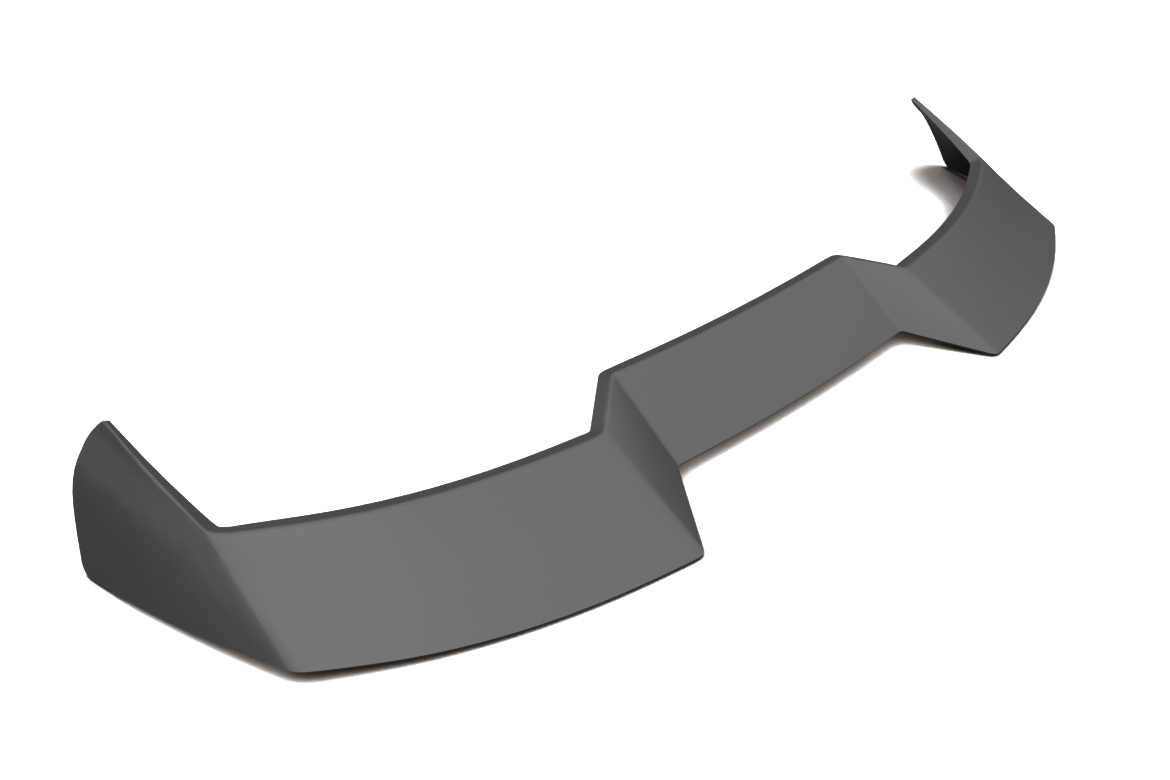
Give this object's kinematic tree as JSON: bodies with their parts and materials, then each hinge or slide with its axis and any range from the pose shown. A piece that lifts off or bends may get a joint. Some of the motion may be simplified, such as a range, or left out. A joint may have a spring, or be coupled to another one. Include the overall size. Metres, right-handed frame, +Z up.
{
  "type": "roof spoiler cap",
  "caption": "One-piece moulded roof spoiler cap: recessed centre, swept side panels, folded-down winglets and a return lip, open underneath for bonding.",
  "frame": {"origin": "centre of the footprint, on the floor that the front corners and the winglet heels stand on", "axes": "+X across the car along the longest side, +Y towards the rear of the car, +Z up"},
  "size_m": [1.2, 0.3504, 0.1032],
  "materials": {
    "shell": "satin dark grey moulded ABS with a fine grain"
  },
  "bodies": {
    "root": {"spoiler_shell": "shell"}
  },
  "joints": []
}
